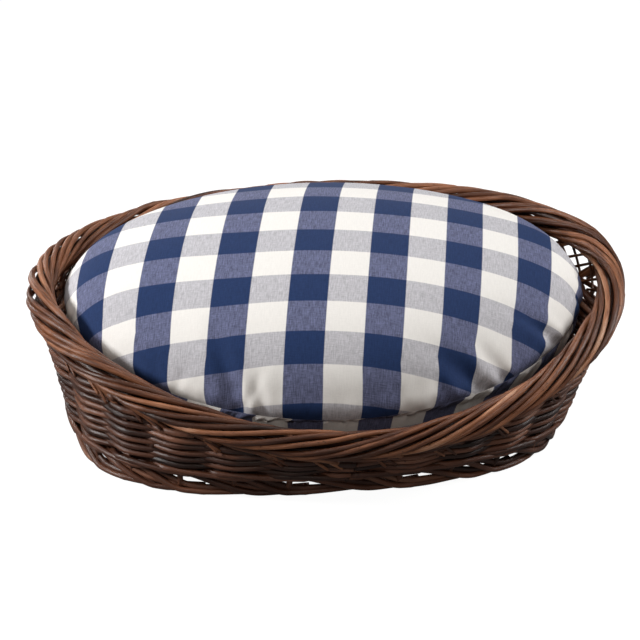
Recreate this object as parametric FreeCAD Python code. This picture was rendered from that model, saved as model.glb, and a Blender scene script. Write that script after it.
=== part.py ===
# Oval willow pet bed basket with a dipped front, and a loose cushion in a zipped cover.
# Millimetres. +X is the right end, -Y the low front, +Z up. The origin is on the floor
# under the middle of the rolled border.
import FreeCAD, Part
import math
import os

Vector = FreeCAD.Vector
LENGTHWAYS = Vector(1, 0, 0)
CROSSWAYS = Vector(0, 1, 0)
UP = Vector(0, 0, 1)
FULL_TURN = 2 * math.pi

# Rolled border: a rope of rods whose centreline is an ellipse seen from above.
RIM_HALF_LENGTH = 266.0
RIM_HALF_DEPTH = 211.0
RIM_RADIUS = 14.0
RIM_MEAN_HEIGHT = 121.6
RIM_RISE_TO_BACK = 42.7     # the back stands higher than the front by about twice this
RIM_LIFT_AT_ENDS = 15.6     # the two ends stand higher than an even slope would
RIM_DIP_SHARPNESS = 3.3     # narrows the dip at the front
RIM_RIGHT_LIFT = 2.7        # hand-made unevenness: the right end is a little higher
RIM_SKEW = 1.6

# Wall: straight up and out from the floor outline to the border.
FLOOR_HALF_LENGTH = 226.0   # outside of the wall at floor level
FLOOR_HALF_DEPTH = 177.0
FLOOR_SQUARENESS = 2.77     # power of the superellipse: 2 is an ellipse
FLOOR_CENTRE = Vector(-14, 1, 0)
WALL_THICKNESS = 10.0
WALE_BOTTOM = 20.0
WALE_TOP = 30.0
FULL_ROWS_TOP = 44.0        # rows that run all the way round end here
LEAST_PACKING_HEIGHT = 5.0  # short rows fill in above them wherever there is this much room
STAKE_COUNT = 28
STAKE_RADIUS = 2.5
STAKE_FOOT_HEIGHT = 5.0     # where a stake's lower end stands in the foot border
STAKE_LEAN = 0.35           # of the gap between stakes, sideways, from foot to border

# Base and foot.
FOOT_WIDTH = 16.0
FOOT_HEIGHT = 15.0
FOOT_ROUNDING = 5.0
BASE_BOTTOM = 17.5
BASE_TOP = 25.5
BASE_INSET = 4.0            # from the wall's centreline
BASE_STICK_RADIUS = 3.0
LONG_STICK_COUNT = 5
LONG_STICK_PITCH = 13.0
CROSS_STICK_COUNT = 9
CROSS_STICK_PITCH = 34.0

# Cushion: ovals of four arcs. The side strip slants out from the bottom to a level belt,
# and on to the upper seam, which follows the basket's border. The dome rises from the seam.
BELT_CENTRE = Vector(-7, 1, 0)
BELT_HALF_LENGTH = 232.0
BELT_HALF_DEPTH = 178.0
BELT_END_RADIUS = 130.0
BELT_HEIGHT = 70.0
CUSHION_BOTTOM = 27.0
BOTTOM_INSET = 20.0          # from the belt
SEAM_CENTRE = Vector(-2, 3.5, 0)
SEAM_HALF_LENGTH = 242.0
SEAM_HALF_DEPTH = 187.0
SEAM_END_RADIUS = 140.0
SEAM_FRONT_HEIGHT = 73.0
SEAM_RISE_TO_BACK = 62.0
SEAM_LIFT_AT_ENDS = 18.0
CUSHION_TOP = 199.0
DOME_PEAK = Vector(-8, 52, 0)
DOME_FULLNESS = 1.76         # the larger of these two, and the smaller the next, the fuller the dome
DOME_SHOULDER = 0.45
DOME_STEPS = 10
DOME_STEP_CROWDING = 1.6     # above 1, the outlines lie closer together near the seam
DOME_CAP = 0.08              # the dome ends in a small flat, this share of its full size
ARC_POINTS = 9
COVER_THICKNESS = 1.5
FILLING_GAP = 0.1

# Zip in the back of the side strip.
ZIP_HEIGHT = 50.0
ZIP_HALF_ANGLE = 34.0
ZIP_TAPE_WIDTH = 12.0
ZIP_CHAIN_WIDTH = 4.0
ZIP_CHAIN_PROUD = 1.2
ZIP_STOP_LENGTH = 2.4
ZIP_STOP_OVERHANG = 0.5      # past the chain, above and below
SLIDER_LENGTH = 9.0
SLIDER_EAR_LENGTH = 3.0
SLIDER_WALL = 1.0
SLIDER_CLEARANCE = 0.35
PULL_LENGTH = 22.0
PULL_WIDTH = 5.0
PULL_THICKNESS = 1.0
PULL_PIN_RADIUS = 0.5
PULL_NECK = 6.0
PULL_EYE_WALL = 0.4
PIN_CLEARANCE = 0.05

STATIONS = 2 * STAKE_COUNT
OUTLINE_STEPS = 1440         # short straight steps that a curved outline is measured by
BORDER_SECTIONS = 84


def rim_height(angle):
    """Height of the border's centreline. Angle 0 is the front middle, rising towards +X."""
    return (RIM_MEAN_HEIGHT
            - RIM_RISE_TO_BACK * math.cos(angle)
            - RIM_LIFT_AT_ENDS * math.cos(2 * angle)
            - RIM_DIP_SHARPNESS * math.cos(3 * angle)
            + RIM_RIGHT_LIFT * math.sin(angle)
            - RIM_SKEW * math.sin(2 * angle))


def rim_outline(angle):
    return Vector(RIM_HALF_LENGTH * math.sin(angle), -RIM_HALF_DEPTH * math.cos(angle), rim_height(angle))


def floor_outline(angle, inset=WALL_THICKNESS / 2):
    """The wall's centreline at floor level, or a line further in."""
    half_length = FLOOR_HALF_LENGTH - inset
    half_depth = FLOOR_HALF_DEPTH - inset
    reach = (abs(math.sin(angle) / half_length) ** FLOOR_SQUARENESS
             + abs(math.cos(angle) / half_depth) ** FLOOR_SQUARENESS) ** (-1 / FLOOR_SQUARENESS)
    return FLOOR_CENTRE + Vector(reach * math.sin(angle), -reach * math.cos(angle), 0)


def even_points(outline, count, shift=0.0):
    """Points at equal distances round a closed outline. shift is in gaps between points."""
    fine = [outline(FULL_TURN * step / OUTLINE_STEPS) for step in range(OUTLINE_STEPS + 1)]
    run = [0.0]
    for start, end in zip(fine, fine[1:]):
        run.append(run[-1] + start.distanceToPoint(end))
    points = []
    step = 0
    for index in range(count):
        wanted = ((index + shift) % count) * run[-1] / count
        step = 0 if wanted < run[step] else step
        while run[step + 1] < wanted:
            step += 1
        share = (wanted - run[step]) / (run[step + 1] - run[step])
        points.append(fine[step] + (fine[step + 1] - fine[step]) * share)
    return points


FLOOR_POINTS = even_points(floor_outline, STATIONS)
RIM_POINTS = even_points(rim_outline, STATIONS)


def wall_point(index, height, across=0.0):
    """A point of the wall at a station, across millimetres out from its centreline."""
    foot = FLOOR_POINTS[index % STATIONS]
    head = RIM_POINTS[index % STATIONS]
    middle = foot + (head - foot) * (height / head.z)
    along = RIM_POINTS[(index + 1) % STATIONS] - RIM_POINTS[index - 1]
    outward = Vector(along.y, -along.x, 0).normalize()
    return middle + outward * across


def spline(points, closed):
    curve = Part.BSplineCurve()
    curve.interpolate(Points=points, PeriodicFlag=closed)
    return curve.toShape()


def wall_band(indexes, bottom, top, closed=True):
    """A band of weave. bottom and top give its two heights at a station."""
    half = WALL_THICKNESS / 2
    corners = ((bottom, half), (top, half), (top, -half), (bottom, -half))
    edges = []
    for height, across in corners:
        edges.append(spline([wall_point(index, height(index), across) for index in indexes], closed))
    faces = [Part.makeRuledSurface(edge, edges[place - 3]) for place, edge in enumerate(edges)]
    if not closed:
        for end in (0, -1):
            loop = [edge.Vertexes[end].Point for edge in edges]
            lower = Part.makeLine(loop[0], loop[3])
            upper = Part.makeLine(loop[1], loop[2])
            faces.append(Part.makeRuledSurface(lower, upper))
    return closed_solid(faces)


def closed_solid(faces):
    shell = Part.makeShell(faces)
    shell.sewShape()
    solid = Part.makeSolid(Part.Shell(shell.Faces))
    if solid.Volume < 0:
        solid.reverse()
    return solid


def upsett_wale():
    return wall_band(range(STATIONS), lambda index: WALE_BOTTOM, lambda index: WALE_TOP)


def side_weave():
    return wall_band(range(STATIONS), lambda index: WALE_TOP, lambda index: FULL_ROWS_TOP)


def packing_top(index):
    return RIM_POINTS[index % STATIONS].z - RIM_RADIUS


def side_packing():
    """Short rows that raise the ends and the back, open at the low front."""
    first = 0
    while packing_top(first) < FULL_ROWS_TOP + LEAST_PACKING_HEIGHT:
        first += 1
    last = STATIONS
    while packing_top(last) < FULL_ROWS_TOP + LEAST_PACKING_HEIGHT:
        last -= 1
    return wall_band(range(first, last + 1), lambda index: FULL_ROWS_TOP, packing_top, closed=False)


def rolled_border():
    points = even_points(rim_outline, BORDER_SECTIONS)
    sections = []
    for index, point in enumerate(points):
        along = points[(index + 1) % BORDER_SECTIONS] - points[index - 1]
        sections.append(Part.Wire(Part.makeCircle(RIM_RADIUS, point, along)))
    return Part.makeLoft(sections + sections[:1], True, True)


def side_stake(index):
    """One rod from the foot border, up through the weave and into the rolled border."""
    foot = wall_point(2 * index, STAKE_FOOT_HEIGHT)
    head = even_points(rim_outline, STAKE_COUNT, -STAKE_LEAN)[index]
    run = head - foot
    return Part.makeCylinder(STAKE_RADIUS, run.Length, foot, run)


def foot_border():
    """A plaited ring under the wall, rounded but flat where it stands."""
    rings = []
    for across in (FOOT_WIDTH / 2, -FOOT_WIDTH / 2):
        points = even_points(lambda angle: floor_outline(angle, FOOT_WIDTH / 2 - across), STATIONS)
        rings.append(Part.Face(Part.Wire(spline(points, True))))
    ring = rings[0].cut(rings[1]).extrude(UP * FOOT_HEIGHT)
    return ring.makeFillet(FOOT_ROUNDING, [edge for edge in ring.Edges if is_level(edge)])


def is_level(edge):
    return edge.BoundBox.ZLength < 0.01


def base_outline(angle):
    return floor_outline(angle, WALL_THICKNESS / 2 + BASE_INSET) + UP * BASE_BOTTOM


def base_weave():
    points = even_points(base_outline, STATIONS)
    return Part.Face(Part.Wire(spline(points, True))).extrude(UP * (BASE_TOP - BASE_BOTTOM))


def base_sticks(count, pitch, along, across):
    """Parallel rods through the base, each cut to the oval."""
    middle_height = (BASE_BOTTOM + BASE_TOP) / 2
    rods = []
    for index in range(count):
        start = FLOOR_CENTRE + across * ((index - (count - 1) / 2) * pitch) + UP * middle_height
        start = start - along * FLOOR_HALF_LENGTH
        rods.append(Part.makeCylinder(BASE_STICK_RADIUS, 2 * FLOOR_HALF_LENGTH, start, along))
    inside = base_weave()
    return Part.makeCompound([rod.common(inside) for rod in rods])


def side_arc_reach(half_length, half_depth, end_radius):
    """How far the centres of an oval's two long arcs lie beyond its middle."""
    end_reach = half_length - end_radius
    return ((end_reach ** 2 + half_depth ** 2 - end_radius ** 2)
            / (2 * (half_depth - end_radius))) - half_depth


def oval(half_length, half_depth, end_radius, centre):
    """A level oval of four arcs that meet smoothly, as a list of edges."""
    end_reach = half_length - end_radius
    turn = math.atan2(end_reach, side_arc_reach(half_length, half_depth, end_radius))
    corner = Vector(end_reach + end_radius * math.sin(turn), end_radius * math.cos(turn), 0)
    right_back = centre + corner
    left_back = centre + Vector(-corner.x, corner.y, 0)
    left_front = centre - corner
    right_front = centre + Vector(corner.x, -corner.y, 0)
    arcs = (Part.Arc(right_back, centre + Vector(0, half_depth, 0), left_back),
            Part.Arc(left_back, centre - Vector(half_length, 0, 0), left_front),
            Part.Arc(left_front, centre - Vector(0, half_depth, 0), right_front),
            Part.Arc(right_front, centre + Vector(half_length, 0, 0), right_back))
    return [arc.toShape() for arc in arcs]


def belt_ring(inset, height):
    """The lower side strip's outline, inset millimetres inside the belt."""
    return oval(BELT_HALF_LENGTH - inset, BELT_HALF_DEPTH - inset, BELT_END_RADIUS - inset,
                BELT_CENTRE + UP * height)


def seam_height(point):
    """Height of the upper seam in the direction of a point seen from the cushion's middle."""
    offset = point - SEAM_CENTRE
    forward = -offset.y / math.hypot(offset.x, offset.y)
    return (SEAM_FRONT_HEIGHT
            + SEAM_RISE_TO_BACK * (1 - forward) / 2
            + SEAM_LIFT_AT_ENDS * (1 - forward ** 2))


def dome_ring(inset, share):
    """The dome's outline at a share of its full spread: 1 is the seam, DOME_CAP the top."""
    top = CUSHION_TOP - inset
    fill = 1.0 if share == DOME_CAP else (1 - share ** DOME_FULLNESS) ** DOME_SHOULDER
    edges = []
    for arc in oval(SEAM_HALF_LENGTH - inset, SEAM_HALF_DEPTH - inset, SEAM_END_RADIUS - inset, SEAM_CENTRE):
        points = []
        for point in arc.discretize(ARC_POINTS):
            seam = seam_height(point)
            spot = DOME_PEAK + (point - DOME_PEAK) * share
            points.append(spot + UP * (seam + (top - seam) * fill))
        edges.append(spline(points, False))
    return edges


def dome_rings(inset):
    shares = [1 - (1 - DOME_CAP) * (step / DOME_STEPS) ** DOME_STEP_CROWDING for step in range(DOME_STEPS)]
    return [dome_ring(inset, share) for share in shares + [DOME_CAP]]


def side_rings(inset):
    return [belt_ring(BOTTOM_INSET + inset, CUSHION_BOTTOM + COVER_THICKNESS),
            belt_ring(inset, BELT_HEIGHT),
            dome_ring(inset, 1.0)]


def ruled_faces(rings):
    faces = []
    for lower, upper in zip(rings, rings[1:]):
        faces += [Part.makeRuledSurface(first, second) for first, second in zip(lower, upper)]
    return faces


def disc(ring):
    return Part.Face(Part.Wire(ring))


def cover_top_panel():
    outer = dome_rings(0)
    inner = dome_rings(COVER_THICKNESS)
    faces = ruled_faces(inner[::-1] + outer)
    return closed_solid(faces + [disc(outer[-1]), disc(inner[-1])])


def cover_side_strip():
    outer = side_rings(0)
    inner = side_rings(COVER_THICKNESS)
    strip = closed_solid(ruled_faces(outer + inner[::-1] + outer[:1]))
    return strip.cut(zip_sweep(ZIP_TAPE_WIDTH, -COVER_THICKNESS * 2, COVER_THICKNESS * 2, ZIP_HALF_ANGLE))


def cover_bottom_panel():
    return disc(belt_ring(BOTTOM_INSET, CUSHION_BOTTOM)).extrude(UP * COVER_THICKNESS)


def cushion_filling():
    inset = COVER_THICKNESS + FILLING_GAP
    rings = side_rings(inset) + dome_rings(inset)[1:]
    return closed_solid(ruled_faces(rings) + [disc(rings[0]), disc(rings[-1])])


def side_slant():
    """How far the lower side strip leans out from upright, in degrees."""
    return math.degrees(math.atan2(BOTTOM_INSET, BELT_HEIGHT - CUSHION_BOTTOM - COVER_THICKNESS))


def back_arc_centre():
    """The upright line about which the back of the side strip, and so the zip, is round."""
    reach = side_arc_reach(BELT_HALF_LENGTH, BELT_HALF_DEPTH, BELT_END_RADIUS)
    return BELT_CENTRE - Vector(0, reach, 0)


def zip_middle():
    """The point of the side strip's surface at the middle of the zip."""
    inset = (BELT_HEIGHT - ZIP_HEIGHT) * math.tan(math.radians(side_slant()))
    return BELT_CENTRE + Vector(0, BELT_HALF_DEPTH - inset, ZIP_HEIGHT)


def on_back(shape):
    """Moves a shape from its own frame (Y out of the cloth, Z up the strip) to the zip's middle."""
    shape.rotate(Vector(0, 0, 0), Vector(1, 0, 0), -side_slant())
    shape.translate(zip_middle())
    return shape


def zip_sweep(width, inner, outer, half_angle, middle_angle=0.0):
    """A bar of the zip's own section, bent round the back of the cushion."""
    corners = [Vector(0, inner, -width / 2), Vector(0, outer, -width / 2),
               Vector(0, outer, width / 2), Vector(0, inner, width / 2)]
    section = on_back(Part.Face(Part.makePolygon(corners + corners[:1])))
    section.rotate(back_arc_centre(), UP, middle_angle - half_angle)
    return section.revolve(back_arc_centre(), UP, 2 * half_angle)


def zip_tape():
    return zip_sweep(ZIP_TAPE_WIDTH, -COVER_THICKNESS, 0, ZIP_HALF_ANGLE)


def stop_half_angle():
    return math.degrees(ZIP_STOP_LENGTH / 2 / (zip_middle() - back_arc_centre()).y)


def zip_teeth():
    return zip_sweep(ZIP_CHAIN_WIDTH, 0, ZIP_CHAIN_PROUD, ZIP_HALF_ANGLE - 2 * stop_half_angle())


def zip_stops():
    stops = []
    for side in (-1, 1):
        middle_angle = side * (ZIP_HALF_ANGLE - stop_half_angle())
        width = ZIP_CHAIN_WIDTH + 2 * ZIP_STOP_OVERHANG
        stops.append(zip_sweep(width, 0, ZIP_CHAIN_PROUD, stop_half_angle(), middle_angle))
    return Part.makeCompound(stops)


def slider_top():
    return ZIP_CHAIN_PROUD + SLIDER_CLEARANCE + SLIDER_WALL


def box_about(x, z, y_low, y_high, x_size, z_size):
    corner = Vector(x - x_size / 2, y_low, z - z_size / 2)
    return Part.makeBox(x_size, y_high - y_low, z_size, corner)


def zip_slider():
    """A hood over the teeth with a bridge that holds the pull."""
    width = ZIP_CHAIN_WIDTH + 2 * (SLIDER_CLEARANCE + SLIDER_WALL)
    hood = box_about(0, 0, SLIDER_CLEARANCE, slider_top(), SLIDER_LENGTH, width)
    channel = box_about(0, 0, 0, ZIP_CHAIN_PROUD + SLIDER_CLEARANCE, 2 * SLIDER_LENGTH,
                        ZIP_CHAIN_WIDTH + 2 * SLIDER_CLEARANCE)
    hood = hood.cut(channel)
    for side in (-1, 1):
        ear = box_about(0, side * width / 4, slider_top(), slider_top() + 2 * SLIDER_WALL,
                        SLIDER_EAR_LENGTH, SLIDER_WALL)
        hood = hood.fuse(ear)
    pin_start = Vector(0, slider_top() + SLIDER_WALL, -width / 4)
    pin = Part.makeCylinder(PULL_PIN_RADIUS, width / 2, pin_start, UP)
    return on_back(hood.fuse(pin))


def zip_pull():
    """A flat tab with an eye that turns on the slider's pin."""
    pin_height = slider_top() + SLIDER_WALL
    width = ZIP_CHAIN_WIDTH + 2 * (SLIDER_CLEARANCE + SLIDER_WALL)
    eye_width = width / 2 - 2 * SLIDER_WALL
    eye_start = Vector(0, pin_height, -eye_width / 2)
    eye = Part.makeCylinder(PULL_PIN_RADIUS + PULL_EYE_WALL, eye_width, eye_start, UP)
    neck_start = PULL_PIN_RADIUS + PIN_CLEARANCE
    neck = box_about((PULL_NECK + neck_start) / 2, 0, pin_height - PULL_THICKNESS / 2,
                     pin_height + PULL_THICKNESS / 2, PULL_NECK - neck_start, eye_width)
    tab = box_about((PULL_LENGTH + PULL_NECK) / 2, 0, pin_height - PULL_THICKNESS / 2,
                    pin_height + PULL_THICKNESS / 2, PULL_LENGTH - PULL_NECK, PULL_WIDTH)
    hole = Part.makeCylinder(PULL_PIN_RADIUS + PIN_CLEARANCE, width, Vector(0, pin_height, -width / 2), UP)
    return on_back(eye.fuse([neck, tab]).cut(hole))


def main():
    os.makedirs("parts", exist_ok=True)
    nodes = {
        "base_long_sticks": base_sticks(LONG_STICK_COUNT, LONG_STICK_PITCH, LENGTHWAYS, CROSSWAYS),
        "base_cross_sticks": base_sticks(CROSS_STICK_COUNT, CROSS_STICK_PITCH, CROSSWAYS, LENGTHWAYS),
        "base_weave": base_weave(),
        "foot_border": foot_border(),
        "upsett_wale": upsett_wale(),
        "side_weave": side_weave(),
        "side_packing": side_packing(),
        "rolled_border": rolled_border(),
        "cover_top_panel": cover_top_panel(),
        "cover_side_strip": cover_side_strip(),
        "cover_bottom_panel": cover_bottom_panel(),
        "cushion_filling": cushion_filling(),
        "zip_tape": zip_tape(),
        "zip_teeth": zip_teeth(),
        "zip_stops": zip_stops(),
        "zip_slider": zip_slider(),
        "zip_pull": zip_pull(),
    }
    for index in range(STAKE_COUNT):
        nodes[f"stake_{index + 1:02d}"] = side_stake(index)
    for name, shape in nodes.items():
        shape.exportStep(f"parts/{name}.step")
        box = shape.BoundBox
        print(f"{name}: {len(shape.Solids)} solids, valid {shape.isValid()}, {shape.Volume / 1000:.1f} cm3,"
              f" x {box.XMin:.1f} {box.XMax:.1f} y {box.YMin:.1f} {box.YMax:.1f}"
              f" z {box.ZMin:.1f} {box.ZMax:.1f}")
    pivot = back_arc_centre()
    print(f"zip arc centre {pivot.x:.3f} {pivot.y:.3f}, slant {side_slant():.3f}, zip middle {zip_middle()}")


main()
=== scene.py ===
"""Looks for a wicker pet bed basket: a willow basket woven rod by rod, and its gingham cushion.

Lengths and places in this file are millimetres in the CAD's own frame; meshes are made in metres.
A place along the wall is counted in stakes: 0 is the stake at the front middle, and the count
rises towards +X. Angles round an oval start at the front too.
"""
import math

import bpy
import numpy as np
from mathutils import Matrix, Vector


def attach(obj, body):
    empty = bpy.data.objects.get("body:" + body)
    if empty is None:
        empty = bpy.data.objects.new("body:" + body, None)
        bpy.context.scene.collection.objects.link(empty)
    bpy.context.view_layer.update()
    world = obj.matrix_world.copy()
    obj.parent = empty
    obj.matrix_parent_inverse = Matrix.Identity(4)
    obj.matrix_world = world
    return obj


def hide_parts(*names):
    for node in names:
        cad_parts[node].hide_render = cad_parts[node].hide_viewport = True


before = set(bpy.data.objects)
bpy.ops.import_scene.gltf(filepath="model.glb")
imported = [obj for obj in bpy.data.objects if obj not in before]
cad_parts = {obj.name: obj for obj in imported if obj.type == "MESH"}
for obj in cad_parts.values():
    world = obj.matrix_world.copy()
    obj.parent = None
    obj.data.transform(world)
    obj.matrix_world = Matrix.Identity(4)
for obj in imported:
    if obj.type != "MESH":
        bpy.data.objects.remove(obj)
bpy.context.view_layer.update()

MM = 0.001
TURN = 2 * math.pi
CHANCE = np.random.default_rng(11)

# The basket's lines, as in the CAD model.
RIM_HALF = np.array([266.0, 211.0])
RIM_RADIUS = 14.0
RIM_MEAN_HEIGHT = 121.6
RIM_RISE_TO_BACK = 42.7
RIM_LIFT_AT_ENDS = 15.6
RIM_DIP_SHARPNESS = 3.3
RIM_RIGHT_LIFT = 2.7
RIM_SKEW = 1.6
FLOOR_HALF = np.array([221.0, 172.0])   # the wall's centreline at floor level
FLOOR_SQUARENESS = 2.77
FLOOR_CENTRE = np.array([-14.0, 1.0])
STAKES = 28
WALL_BOTTOM = 19.0
BASE_BOTTOM = 17.5
BASE_TOP = 25.5

# The cushion's lines, as in the CAD model: half length, half depth, end radius, centre.
BELT = (232.0, 178.0, 130.0, np.array([-7.0, 1.0]))
SEAM = (242.0, 187.0, 140.0, np.array([-2.0, 3.5]))
BELT_HEIGHT = 70.0
BOTTOM_HEIGHT = 27.0
BOTTOM_INSET = 20.0
CUSHION_TOP = 199.0
SEAM_FRONT_HEIGHT = 73.0
SEAM_RISE_TO_BACK = 62.0
SEAM_LIFT_AT_ENDS = 18.0
DOME_PEAK = np.array([-8.0, 52.0])
DOME_FULLNESS = 1.76
DOME_SHOULDER = 0.45

# Rods.
STAKE_RADIUS = 2.4
STAKE_FOOT_HEIGHT = 7.0
WEAVER_RADIUS = 2.75
WALE_RADIUS = 2.6
BORDER_ROD_RADIUS = 2.8
FOOT_ROD_RADIUS = 2.9
ROW_PITCH = 4.1
BASE_ROD_RADIUS = 2.7
BASE_ROW_PITCH = 4.1
BASE_WAVE = 1.4


# ---------------------------------------------------------------- curves

def smooth(value):
    """0 below 0, 1 above 1, and an even step between."""
    value = np.clip(value, 0, 1)
    return value * value * (3 - 2 * value)


def rim_height(angle):
    """The rim dips at the front, stands highest at the back and is lifted at both ends."""
    return (RIM_MEAN_HEIGHT - RIM_RISE_TO_BACK * np.cos(angle) - RIM_LIFT_AT_ENDS * np.cos(2 * angle)
            - RIM_DIP_SHARPNESS * np.cos(3 * angle) + RIM_RIGHT_LIFT * np.sin(angle)
            - RIM_SKEW * np.sin(2 * angle))


def rim_outline(angle):
    return np.stack([RIM_HALF[0] * np.sin(angle), -RIM_HALF[1] * np.cos(angle), rim_height(angle)], -1)


def floor_outline(angle, inset=0.0):
    half = FLOOR_HALF - inset
    reach = ((np.abs(np.sin(angle)) / half[0]) ** FLOOR_SQUARENESS
             + (np.abs(np.cos(angle)) / half[1]) ** FLOOR_SQUARENESS) ** (-1 / FLOOR_SQUARENESS)
    return np.stack([FLOOR_CENTRE[0] + reach * np.sin(angle),
                     FLOOR_CENTRE[1] - reach * np.cos(angle), 0 * angle], -1)


class Loop:
    """A closed line that is asked for points by stake count."""

    def __init__(self, outline):
        self.points = outline(np.linspace(0, TURN, 2881))
        steps = np.linalg.norm(np.diff(self.points, axis=0), axis=1)
        self.run = np.concatenate([[0], np.cumsum(steps)])
        self.length = self.run[-1]

    def at(self, stake):
        wanted = np.mod(stake, STAKES) * self.length / STAKES
        return np.stack([np.interp(wanted, self.run, self.points[:, axis]) for axis in range(3)], -1)

    def along(self, stake):
        ahead = self.at(np.asarray(stake) + 0.05) - self.at(np.asarray(stake) - 0.05)
        return ahead / np.linalg.norm(ahead, axis=-1, keepdims=True)


RIM = Loop(rim_outline)
FLOOR = Loop(floor_outline)
RIM_GAP = RIM.length / STAKES


def outward(stake):
    """Level directions straight out of the wall."""
    along = RIM.along(stake)
    out = np.stack([along[..., 1], -along[..., 0], 0 * along[..., 0]], -1)
    return out / np.linalg.norm(out, axis=-1, keepdims=True)


def wall_point(stake, height, across=0.0):
    """A point of the wall, across millimetres out from its centreline."""
    foot = FLOOR.at(stake)
    head = RIM.at(stake)
    share = (np.asarray(height) / head[..., 2])[..., None]
    return foot + (head - foot) * share + outward(stake) * np.asarray(across)[..., None]


def wobble(count, size, waves=3.0):
    """A smooth random line of count values about as large as size, with two knots to a wave."""
    knots = max(4, int(waves * 2))
    values = CHANCE.normal(0, size, knots + 1)
    places = np.linspace(0, knots, count)
    left = np.clip(places.astype(int), 0, knots - 1)
    share = smooth(places - left)
    return values[left] * (1 - share) + values[left + 1] * share


# ---------------------------------------------------------------- meshes

def make_piece(name, points, faces, material, body, attributes=()):
    """A smooth mesh in metres that rides on a body. attributes holds (name, kind, values)."""
    mesh = bpy.data.meshes.new(name)
    mesh.from_pydata((np.asarray(points) * MM).tolist(), [], faces)
    for label, kind, values in attributes:
        layer = mesh.attributes.new(label, kind, "POINT")
        field = "vector" if kind == "FLOAT_VECTOR" else "value"
        layer.data.foreach_set(field, np.asarray(values, np.float32).ravel())
    mesh.polygons.foreach_set("use_smooth", [True] * len(mesh.polygons))
    mesh.materials.append(material)
    piece = bpy.data.objects.new(name, mesh)
    bpy.context.scene.collection.objects.link(piece)
    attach(piece, body)
    return piece


class Rods:
    """Many rods gathered into one mesh."""

    def __init__(self, sides=8):
        self.sides = sides
        self.points = []
        self.faces = []
        self.grain = []
        self.tone = []
        self.count = 0

    def add(self, path, radius, tone_shift=0.0, buds=True, rough=0.04):
        """A rod along a path. radius is one number or one for each point."""
        path = np.asarray(path, float)
        total = len(path)
        ahead = np.gradient(path, axis=0)
        ahead /= np.linalg.norm(ahead, axis=1, keepdims=True) + 1e-9
        upright = abs(ahead[:, 2]).mean() > 0.7
        guide = outward_guide(path) if upright else np.tile([0.0, 0.0, 1.0], (total, 1))
        side = np.cross(guide, ahead)
        side /= np.linalg.norm(side, axis=1, keepdims=True) + 1e-9
        top = np.cross(ahead, side)
        run = np.concatenate([[0], np.cumsum(np.linalg.norm(np.diff(path, axis=0), axis=1))])
        width = np.broadcast_to(radius, total) * (1 + wobble(total, rough, run[-1] / 60))
        if buds:
            first = CHANCE.uniform(5, 60)
            for place in np.arange(first, run[-1], CHANCE.uniform(45, 90)):
                width = width * (1 + 0.13 * np.exp(-((run - place) / 2.5) ** 2))
        turn = np.linspace(0, TURN, self.sides, endpoint=False)
        ring = np.cos(turn)[None, :, None] * side[:, None] + np.sin(turn)[None, :, None] * top[:, None]
        self.points.append((path[:, None] + ring * width[:, None, None]).reshape(-1, 3))
        start = CHANCE.uniform(0, 4000)
        around = np.stack([np.broadcast_to(run[:, None] + start, (total, self.sides)),
                           np.broadcast_to(3 * np.cos(turn), (total, self.sides)),
                           np.broadcast_to(3 * np.sin(turn), (total, self.sides))], -1)
        self.grain.append(around.reshape(-1, 3))
        self.tone.append(np.full(total * self.sides, np.clip(CHANCE.normal(0.5, 0.2) + tone_shift, 0, 1)))
        self.add_faces(total)

    def add_faces(self, total):
        base = self.count
        here = np.arange(self.sides)
        onward = (here + 1) % self.sides
        for ring in range(total - 1):
            low = base + ring * self.sides
            high = low + self.sides
            self.faces += np.stack([low + here, low + onward, high + onward, high + here], 1).tolist()
        last = base + (total - 1) * self.sides
        self.faces.append([base + index for index in range(self.sides)][::-1])
        self.faces.append([last + index for index in range(self.sides)])
        self.count += total * self.sides

    def build(self, name, material, body, *nodes):
        attributes = (("grain", "FLOAT_VECTOR", np.concatenate(self.grain)),
                      ("tone", "FLOAT", np.concatenate(self.tone)))
        piece = make_piece(name, np.concatenate(self.points), self.faces, material, body, attributes)
        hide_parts(*nodes)
        return piece


def outward_guide(path):
    """Level directions from the basket's middle, to turn an upright rod's rings by."""
    guide = path * np.array([1.0, 1.0, 0.0])
    return guide / (np.linalg.norm(guide, axis=1, keepdims=True) + 1e-9)


# ---------------------------------------------------------------- materials

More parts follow.
